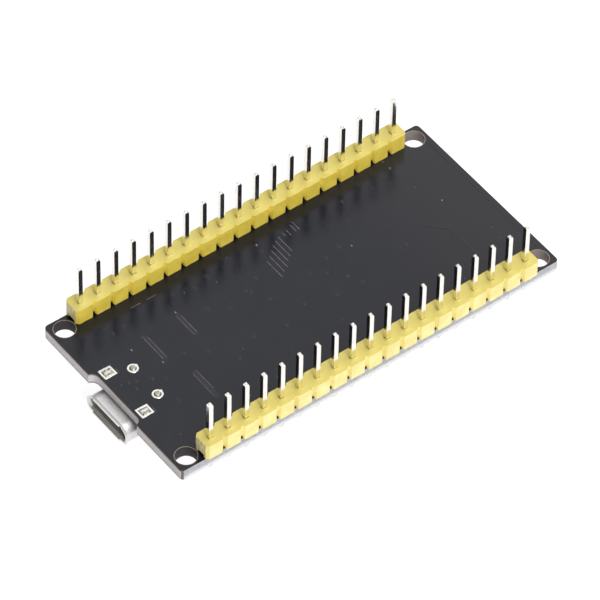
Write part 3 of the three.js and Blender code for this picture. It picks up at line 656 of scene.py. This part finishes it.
fill = bmesh.new()
for side in (1, -1):
    opening_x = LEG_PAD[0] - 2 * LEG_PAD_BORDER + 0.02
    opening_y = LEG_PAD[1] - 2 * LEG_PAD_BORDER + 0.02
    solder_mound(fill, LEG_X, USB_Y + side * LEG_Y, opening_x, opening_y, PIN_FACE, 0.01, 0.12, 0.16, 16)
    turned(fill, PEG_SOLDER, PEG_X, USB_Y + side * PEG_Y, PIN_FACE, 20)
add_piece("usb_solder_pin_side", merged(fill), FLUXED_FINISH)


# ---------------------------------------------------------------- tracks and vias under the mask, pin side

TRACK_RISE = 0.016
EDGE_LINE = 0.075

# Both edges of a wide track that shows: x of one edge, y where it starts and ends, and the same for the other
WIDE_TRACKS = (
    (-19.09, 5.61, 1.41, -18.58, 5.23, 1.49),
    (-14.00, 5.90, 2.30, -13.49, 5.53, 2.53),
    (-17.69, -2.45, -6.64, -17.05, -2.16, -5.53),
)
# A bundle of tracks turning from one direction to another: (x, y where it starts, y where it ends)
BUNDLE = (
    (-0.37, 6.40, 3.45), (0.34, 6.85, 4.05), (1.05, 7.45, 4.40), (1.70, 8.00, 5.15), (2.35, 8.45, 5.60),
    (3.00, 8.75, 6.20), (3.80, 8.95, 8.50), (4.42, 9.05, 8.20), (5.28, 9.50, 8.35), (5.75, 9.75, 8.35),
)
# Glints on tracks that run along the board: (x where it starts, x where it ends, y)
GLINTS = ((-17.49, -16.23, 9.98), (-15.21, -14.00, 9.98))
ANTENNA_TRACK = ((18.13, 0.11), (20.20, -2.00), (20.20, -7.35))

# Painted glints: thin low ridges along track edges, in a finish paler than the mask.
tracks = bmesh.new()
surface = PIN_FACE - 0.01 * MM
crest = PIN_FACE + TRACK_RISE * MM
for first_x, first_start, first_end, second_x, second_start, second_end in WIDE_TRACKS:
    strip(tracks, (first_x, first_start), (first_x, first_end), EDGE_LINE, surface, crest)
    strip(tracks, (second_x, second_start), (second_x, second_end), EDGE_LINE, surface, crest)
for x, start, end in BUNDLE:
    strip(tracks, (x, start), (x, end), EDGE_LINE * 1.5, surface, crest)
for start, end, y in GLINTS:
    strip(tracks, (start, y), (end, y), EDGE_LINE * 1.4, surface, crest)
for side in (1, -1):
    edge_x = LEG_X + LEG_PAD[0] / 2 + 0.22
    y = USB_Y + side * LEG_Y
    strip(tracks, (edge_x, y - 0.05), (edge_x, y - 0.75), 0.07, surface, crest)
add_piece("track_edges_pin_side", tracks, TRACK_FINISH)

plain = bmesh.new()
ribbon(plain, ANTENNA_TRACK, 0.42, surface, PIN_FACE + 0.02 * MM)
for first_x, first_start, first_end, second_x, _, _ in WIDE_TRACKS:
    x = (first_x + second_x) / 2
    strip(plain, (x, first_start), (x, first_end), second_x - first_x, surface, PIN_FACE + 0.01 * MM)
BORDER_INSET = 0.75
border_x = 27.4 - BORDER_INSET
for side in (1, -1):
    strip(plain, (-border_x, side * 5.4), (-border_x, side * 10.2), 0.1, surface, PIN_FACE + 0.02 * MM)
    strip(plain, (border_x, side * 0.4), (border_x, side * 10.2), 0.1, surface, PIN_FACE + 0.02 * MM)
add_piece("tracks_pin_side", plain, PLAIN_TRACK_FINISH)

# Small vias covered by the mask: a low ring with a dimple
VIAS = (
    (-21.24, 4.71), (-13.73, 6.38), (-19.39, 1.07), (-21.5, 8.1), (-19.8, 8.3), (-12.3, 8.9), (-9.6, 8.2),
    (-7.4, 8.8), (-10.4, 4.6), (-8.2, 3.1), (-5.1, 4.3), (0.2, 9.3), (0.2, 8.22), (-2.9, 5.2), (-3.6, 1.7),
    (2.6, 2.2), (4.3, 1.0), (5.6, 2.9), (5.9, -0.8), (7.9, 3.4), (9.16, 2.64), (6.8, -2.6), (3.2, -2.4),
    (-0.8, -1.3), (-4.4, -2.8), (-8.6, -1.9), (-11.9, -3.6), (-14.2, -0.6), (-16.6, 0.8), (-20.6, -1.1),
    (-21.4, -4.6), (-19.2, -8.2), (-14.9, -8.7), (-10.1, -8.4), (-6.2, -7.9), (-1.7, -8.6), (3.9, -8.1),
    (8.8, -7.7), (13.4, -8.5), (12.6, 8.9), (16.8, 8.6), (20.36, 9.87), (22.2, 2.1), (14.6, -0.9),
    (24.4, -4.6), (11.3, 5.9), (17.4, 4.2), (-24.2, -0.3), (-23.6, 0.6), (-24.4, 1.0), (-21.9, -0.2),
)
TENTED = [(0, 0.012), (0.09, 0.006), (0.15, 0.022), (0.21, 0.020), (0.27, 0), (0.2, -0.01), (0, -0.01)]
vias = bmesh.new()
for x, y in VIAS:
    turned(vias, TENTED, x, y, PIN_FACE, 14)
add_piece("tented_vias", merged(vias), PLAIN_TRACK_FINISH, crease=60)

BARE_VIAS = (
    (-21.24, 4.71), (22.22, 2.08), (20.36, 9.87), (9.16, 2.64), (0.2, 9.3), (-13.73, 6.38), (-19.39, 1.07),
)
bare = bmesh.new()
for x, y in BARE_VIAS:
    turned(bare, [(0, 0.035), (0.05, 0.032), (0.085, 0.015), (0.085, 0), (0, 0)], x, y, PIN_FACE, 12)
add_piece("tinned_vias", merged(bare), VIA_FINISH)


# ---------------------------------------------------------------- solder joints and pads, component side

SOLDER_CONE = [
    (0.34, 0), (0.70, 0), (0.69, 0.05), (0.64, 0.13), (0.56, 0.32), (0.49, 0.6), (0.44, 0.92), (0.34, 0.98),
]
PIN_PAD = [(0.52, 0), (0.76, 0), (0.75, FOIL), (0.54, FOIL)]
PASTE_FILLET = [(0, 0), (0.36, 0), (0.32, 0.08), (0.20, 0.30), (0.12, 0.52), (0, 0.60)]

joints = bmesh.new()
pin_pads = bmesh.new()
for y in ROW_Y:
    for index in range(PINS_PER_ROW):
        x = (index - (PINS_PER_ROW - 1) / 2) * PITCH
        turned(joints, SOLDER_CONE, x, y, PARTS_FACE, 16)
        turned(pin_pads, PIN_PAD, x, y, PARTS_FACE, 20)
add_piece("pin_solder_joints", merged(joints), SOLDER_FINISH)
add_piece("pin_pads", merged(pin_pads), TIN_FINISH)

module_size = span("module_board")
module_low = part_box("module_board")[0]
CASTELLATION_PITCH = 1.27
SIDE_CASTELLATIONS = 14
END_CASTELLATIONS = 10
module_x0 = (module_low.x - BOARD_X) / MM
module_half = module_size.y / 2 / MM
castellations = []
for index in range(SIDE_CASTELLATIONS):
    x = module_x0 + 1.5 + index * CASTELLATION_PITCH
    castellations.append((x, module_half, math.pi))
    castellations.append((x, -module_half, 0.0))
for index in range(END_CASTELLATIONS):
    y = ((END_CASTELLATIONS - 1) / 2 - index) * CASTELLATION_PITCH
    castellations.append((module_x0, y, -math.pi / 2))

MODULE_SEAT = 0.02
MODULE_DEPTH = 0.82
barrels = bmesh.new()
fillets = bmesh.new()
for x, y, start in castellations:
    wall = [(0.25, MODULE_SEAT), (0.295, MODULE_SEAT), (0.295, MODULE_DEPTH), (0.52, MODULE_DEPTH),
            (0.52, MODULE_DEPTH + FOIL), (0.25, MODULE_DEPTH + FOIL)]
    turned(barrels, wall, x, y, PARTS_FACE, 8, math.pi, start)
    turned(fillets, PASTE_FILLET, x, y, PARTS_FACE, 10)
add_piece("castellation_plating", merged(barrels), GOLD_FINISH)
add_piece("castellation_solder", merged(fillets), SOLDER_FINISH)

# The aerial is a meandering track on the module's outer face, beyond the can
MEANDER_NEAR = 21.4
MEANDER_FAR = MEANDER_NEAR + 4.1
MEANDER_Y = 5.6
MEANDER_PITCH = 1.5625
MEANDER_RUNS = 6
MEANDER_LEAD = 1.2
AERIAL_WIDTH = 0.5
aerial_face = module_low.z
points = [(MEANDER_NEAR - MEANDER_LEAD, MEANDER_Y), (MEANDER_FAR, MEANDER_Y)]
for index in range(MEANDER_RUNS):
    y = MEANDER_Y - (index + 1) * MEANDER_PITCH
    run = [(MEANDER_FAR, y), (MEANDER_NEAR, y)]
    points += run if index % 2 == 0 else run[::-1]
aerial = bmesh.new()
ribbon(aerial, points, AERIAL_WIDTH, aerial_face + 0.01 * MM, aerial_face - 0.035 * MM)
add_piece("aerial_track", aerial, GOLD_FINISH)


# ---------------------------------------------------------------- contacts and terminals


def beneath(bm, x_ends, y_ends, near, far, radius=0.0, finish=0):
    """A block on the component side. Its ends are in metres; near and far are millimetres off the board."""
    (x0, x1), (y0, y1) = sorted(x_ends), sorted(y_ends)
    block(bm, (x0, y0, PARTS_FACE - far * MM), (x1, y1, PARTS_FACE - near * MM), radius, finish)


def around(centre, half):
    """Both ends of a length about its middle: the middle in metres, and half the length in millimetres."""
    return centre - half * MM, centre + half * MM


def across_edge(edge, way, back, out):
    """Both ends of a length from back millimetres behind an edge to out millimetres past it, going way."""
    return edge - way * back * MM, edge + way * out * MM


CONTACTS = 5
CONTACT_PITCH = 0.65
tongue_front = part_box("usb_tongue")[0].x
contacts = bmesh.new()
for index in range(CONTACTS):
    y = BOARD_Y + (USB_Y + (index - (CONTACTS - 1) / 2) * CONTACT_PITCH) * MM
    beneath(contacts, across_edge(tongue_front, 1, -0.15, 3.15), around(y, 0.13), 1.24, 1.35, 0.02)
    beneath(contacts, across_edge(shell_high.x, 1, 0.1, 0.8), around(y, 0.15), 0.02, 0.18, 0.03)
add_piece("usb_contacts", contacts, GOLD_FINISH)

terminals = bmesh.new()
for use in ("reset", "boot"):
    low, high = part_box(f"{use}_switch_base")
    for x in (low.x + 0.55 * MM, high.x - 0.55 * MM):
        for edge, way in ((low.y, -1), (high.y, 1)):
            beneath(terminals, around(x, 0.3), across_edge(edge, way, 0.02, 0.45), 0.03, 0.2, 0.03)
add_piece("switch_terminals", terminals, TIN_FINISH)

# The leadless chip's terminals
LANDS_PER_SIDE = 7
LAND_PITCH = 0.5
chip_low, chip_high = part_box("usb_serial_chip")
chip = middle("usb_serial_chip")
lands = bmesh.new()
for index in range(LANDS_PER_SIDE):
    offset = (index - (LANDS_PER_SIDE - 1) / 2) * LAND_PITCH * MM
    for edge, way in ((chip_low.x, -1), (chip_high.x, 1)):
        beneath(lands, across_edge(edge, way, 0.32, 0.02), around(chip.y + offset, 0.12), 0.005, 0.2, 0.02)
    for edge, way in ((chip_low.y, -1), (chip_high.y, 1)):
        beneath(lands, around(chip.x + offset, 0.12), across_edge(edge, way, 0.32, 0.02), 0.005, 0.2, 0.02)
add_piece("usb_serial_chip_terminals", lands, TIN_FINISH)

# The tantalum capacitor's end tabs and its printed band
tantalum_low, tantalum_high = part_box("tantalum_capacitor")
tantalum = middle("tantalum_capacitor")
tabs = bmesh.new()
for edge, way in ((tantalum_low.x, -1), (tantalum_high.x, 1)):
    beneath(tabs, across_edge(edge, way, 0, 0.13), around(tantalum.y, 0.9), 0.02, 0.95, 0.04)
add_piece("tantalum_capacitor_tabs", tabs, TIN_FINISH)

band = bmesh.new()
block(
    band, (tantalum_low.x + 0.25 * MM, tantalum_low.y + 0.12 * MM, tantalum_low.z - 0.008 * MM),
    (tantalum_low.x + 0.85 * MM, tantalum_high.y - 0.12 * MM, tantalum_low.z + 0.01 * MM),
)
add_piece("tantalum_capacitor_band", band, AMBER_BAND_FINISH)


# ---------------------------------------------------------------- small components

# (x, y, quarter turns)
RESISTORS = (
    (-9.9, 1.2, 1), (-8.2, 1.2, 1), (-6.5, 1.2, 1), (-9.6, -9.4, 0), (-6.9, -9.4, 0), (-4.2, -9.4, 0),
    (-20.6, 4.6, 1), (-17.2, 10.0, 0), (-20.4, -9.6, 0), (-1.6, -3.6, 1), (-1.6, -0.9, 1), (-12.2, -9.4, 0),
)
CAPACITORS = (
    (-9.8, 5.2, 1), (-9.8, 8.2, 1), (-2.9, 6.3, 1), (-1.0, 6.3, 1), (-10.2, -1.4, 1), (-18.6, -2.4, 1),
    (-3.4, 2.6, 0), (-0.7, 2.6, 0), (-18.6, -6.4, 1), (-0.6, 9.6, 0),
)
CHIP_LENGTH = 1.6
CHIP_WIDTH = 0.82
CAP_LENGTH = 0.34


def chip_part(bm, x, y, quarter_turns, height, cover):
    """A two-terminal chip part: body, plated ends and their solder. Finishes: body, ends, cover."""
    lengthwise = Vector((1, 0)) if quarter_turns == 0 else Vector((0, 1))
    sideways = Vector((lengthwise.y, lengthwise.x))

    def piece(from_end, to_end, width, near, far, radius, finish):
        a = lengthwise * from_end - sideways * width / 2
        b = lengthwise * to_end + sideways * width / 2
        low = place(x + min(a.x, b.x), y + min(a.y, b.y), PARTS_FACE - far * MM)
        high = place(x + max(a.x, b.x), y + max(a.y, b.y), PARTS_FACE - near * MM)
        block(bm, low, high, radius, finish)

    half = CHIP_LENGTH / 2
    piece(-half + 0.05, half - 0.05, CHIP_WIDTH - 0.04, 0.05, height - 0.02, 0.02, 0)
    for side in (-1, 1):
        inner, outer = sorted((side * (half - CAP_LENGTH), side * half))
        piece(inner, outer, CHIP_WIDTH, 0.03, height, 0.05, 1)
        inner, outer = sorted((side * (half - 0.1), side * (half + 0.25)))
        piece(inner, outer, CHIP_WIDTH + 0.06, 0.0, 0.16, 0.07, 1)
    if cover:
        piece(-half + CAP_LENGTH, half - CAP_LENGTH, CHIP_WIDTH - 0.12, height - 0.04, height + 0.005, 0, 2)


resistors = bmesh.new()
for spot in RESISTORS:
    chip_part(resistors, *spot, 0.45, True)
add_piece("resistors", resistors, (ALUMINA_FINISH, TIN_FINISH, CHIP_FINISH))

capacitors = bmesh.new()
for spot in CAPACITORS:
    chip_part(capacitors, *spot, 0.8, False)
add_piece("ceramic_capacitors", capacitors, (CERAMIC_FINISH, TIN_FINISH))

TRANSISTORS = ((-7.9, -5.0), (-4.3, -5.0))
TRANSISTOR_LEGS = ((-0.95, -1), (0.95, -1), (0, 1))
transistors = bmesh.new()
for x, y in TRANSISTORS:
    spot = place(x, y, PARTS_FACE)
    beneath(transistors, around(spot.x, 1.45), around(spot.y, 0.65), 0.08, 1.05, 0.08)
    for leg_x, way in TRANSISTOR_LEGS:
        leg = around(spot.x + leg_x * MM, 0.22)
        beneath(transistors, leg, across_edge(spot.y, way, -0.6, 0.85), 0.04, 0.62, 0.04, 1)
        beneath(transistors, leg, across_edge(spot.y, way, -0.8, 1.25), 0.02, 0.17, 0.04, 1)
add_piece("transistors", transistors, (CHIP_FINISH, TIN_FINISH))

DIODE = (-20.4, -6.9)
diode = bmesh.new()
spot = place(*DIODE, PARTS_FACE)
beneath(diode, around(spot.x, 0.75), around(spot.y, 1.3), 0.06, 1.05, 0.08)
beneath(diode, around(spot.x, 0.72), across_edge(spot.y, 1, -0.75, 1.02), 1.0, 1.056, 0, 2)
for way in (-1, 1):
    beneath(diode, around(spot.x, 0.4), across_edge(spot.y, way, -1.2, 1.8), 0.02, 0.2, 0.04, 1)
add_piece("supply_diode", diode, (CHIP_FINISH, TIN_FINISH, LEGEND_FINISH))

led_terminals = bmesh.new()
led_width = (led_low.y + 0.04 * MM, led_high.y - 0.04 * MM)
for edge, way in ((led_low.x, -1), (led_high.x, 1)):
    beneath(led_terminals, across_edge(edge, way, 0.12, 0.18), led_width, 0.01, 0.22, 0.04)
add_piece("power_led_terminals", led_terminals, TIN_FINISH)


# ---------------------------------------------------------------- printed outlines, component side

LEGEND_WIDTH = 0.15
LEGEND_RISE = 0.02
LEGEND_MARGINS = {
    "usb_serial_chip": 0.5,
    "tantalum_capacitor": 0.55,
    "reset_switch_base": 0.6,
    "boot_switch_base": 0.6,
}


def printed_frame(bm, low_x, low_y, high_x, high_y):
    corners = ((low_x, low_y), (high_x, low_y), (high_x, high_y), (low_x, high_y))
    for start, end in zip(corners, corners[1:] + corners[:1]):
        strip(bm, start, end, LEGEND_WIDTH, PARTS_FACE + 0.005 * MM, PARTS_FACE - LEGEND_RISE * MM)


legend = bmesh.new()
for node, margin in LEGEND_MARGINS.items():
    low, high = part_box(node)
    printed_frame(
        legend, (low.x - BOARD_X) / MM - margin, (low.y - BOARD_Y) / MM - margin,
        (high.x - BOARD_X) / MM + margin, (high.y - BOARD_Y) / MM + margin,
    )
for x, y, quarter_turns in RESISTORS + CAPACITORS:
    reach_x, reach_y = (1.25, 0.65) if quarter_turns == 0 else (0.65, 1.25)
    printed_frame(legend, x - reach_x, y - reach_y, x + reach_x, y + reach_y)
turned(legend, [(0, 0), (0.2, 0), (0.2, LEGEND_RISE), (0, LEGEND_RISE)], -17.9, -5.6, PARTS_FACE, 20)
add_piece("printed_outlines", merged(legend), LEGEND_FINISH)


# ---------------------------------------------------------------- floor, light and camera

FLOOR_SIZE = 6.0
FLOOR_DROP = 0.02


def add_floor():
    bm = bmesh.new()
    matrix = Matrix.Translation((0, 0, -FLOOR_DROP * MM))
    bmesh.ops.create_grid(bm, x_segments=1, y_segments=1, size=FLOOR_SIZE / 2, matrix=matrix)
    mesh = bpy.data.meshes.new("floor")
    bm.to_mesh(mesh)
    bm.free()
    floor = bpy.data.objects.new("floor", mesh)
    bpy.context.scene.collection.objects.link(floor)
    glow = {"Emission_Color": (1, 1, 1, 1), "Emission_Strength": 0.9}
    finish = Finish("floor_white", (0.25, 0.25, 0.25), 0.9, **glow)
    finish.set("Specular IOR Level", 0.0)
    mesh.materials.append(finish.material)


def add_soft_light(name, position, size, power):
    """A square soft light, in metres and watts, aimed at the board."""
    light = bpy.data.lights.new(name, "AREA")
    light.shape = "SQUARE"
    light.size = size
    light.energy = power
    lamp = bpy.data.objects.new(name, light)
    lamp.location = position
    aim = Vector((0, 0, PIN_FACE)) - Vector(position)
    lamp.rotation_euler = aim.to_track_quat("-Z", "Y").to_euler()
    lamp.visible_camera = False
    bpy.context.scene.collection.objects.link(lamp)


def add_world(near_floor, overhead):
    """A dim room with a white band just above the floor, so that the floor has no visible far edge."""
    world = bpy.data.worlds.new("studio")
    world.use_nodes = True
    tree = world.node_tree
    direction = tree.nodes.new("ShaderNodeTexCoord").outputs["Generated"]
    height = tree.nodes.new("ShaderNodeSeparateXYZ")
    tree.links.new(direction, height.inputs[0])
    fade = tree.nodes.new("ShaderNodeMapRange")
    fade.interpolation_type = "SMOOTHSTEP"
    tree.links.new(height.outputs["Z"], fade.inputs["Value"])
    fade.inputs["From Min"].default_value = 0.06
    fade.inputs["From Max"].default_value = 0.14
    fade.inputs["To Min"].default_value = near_floor
    fade.inputs["To Max"].default_value = overhead
    tree.nodes["Background"].inputs["Color"].default_value = (1, 1, 1, 1)
    tree.links.new(fade.outputs["Result"], tree.nodes["Background"].inputs["Strength"])
    bpy.context.scene.world = world


CAMERA_AZIMUTH = math.radians(-37.93)
CAMERA_ELEVATION = math.radians(48.31)
CAMERA_ROLL = math.radians(1.26)
CAMERA_DISTANCE = 0.659
CAMERA_LENS = 339
AIM_RIGHT = -0.33
AIM_UP = -0.77


def add_camera():
    camera = bpy.data.cameras.new("camera")
    camera.lens = CAMERA_LENS
    camera.sensor_width = 36
    camera.clip_start = 0.05
    camera.clip_end = 20
    flat = math.cos(CAMERA_ELEVATION)
    back = Vector((
        math.sin(CAMERA_AZIMUTH) * flat, -math.cos(CAMERA_AZIMUTH) * flat, math.sin(CAMERA_ELEVATION),
    ))
    right = Vector((0, 0, 1)).cross(back).normalized()
    up = back.cross(right)
    roll = Matrix.Rotation(CAMERA_ROLL, 3, back)
    right, up = roll @ right, roll @ up
    aim = place(0, 0, PIN_FACE) + (AIM_RIGHT * right + AIM_UP * up) * MM
    axes = Matrix((right, up, back)).transposed()
    holder = bpy.data.objects.new("camera", camera)
    holder.matrix_world = Matrix.Translation(aim + back * CAMERA_DISTANCE) @ axes.to_4x4()
    bpy.context.scene.collection.objects.link(holder)
    bpy.context.scene.camera = holder


add_floor()
add_world(0.95, 0.03)
add_soft_light("back_softbox", (0.41, 0.53, 0.76), 1.0, 3.3)
add_soft_light("front_softbox", (-0.12, -0.93, 0.62), 0.8, 13.0)
add_soft_light("overhead_softbox", (0.25, -0.15, 0.95), 0.5, 4.5)
add_camera()
bpy.context.scene.view_settings.view_transform = "Standard"

bpy.context.view_layer.update()
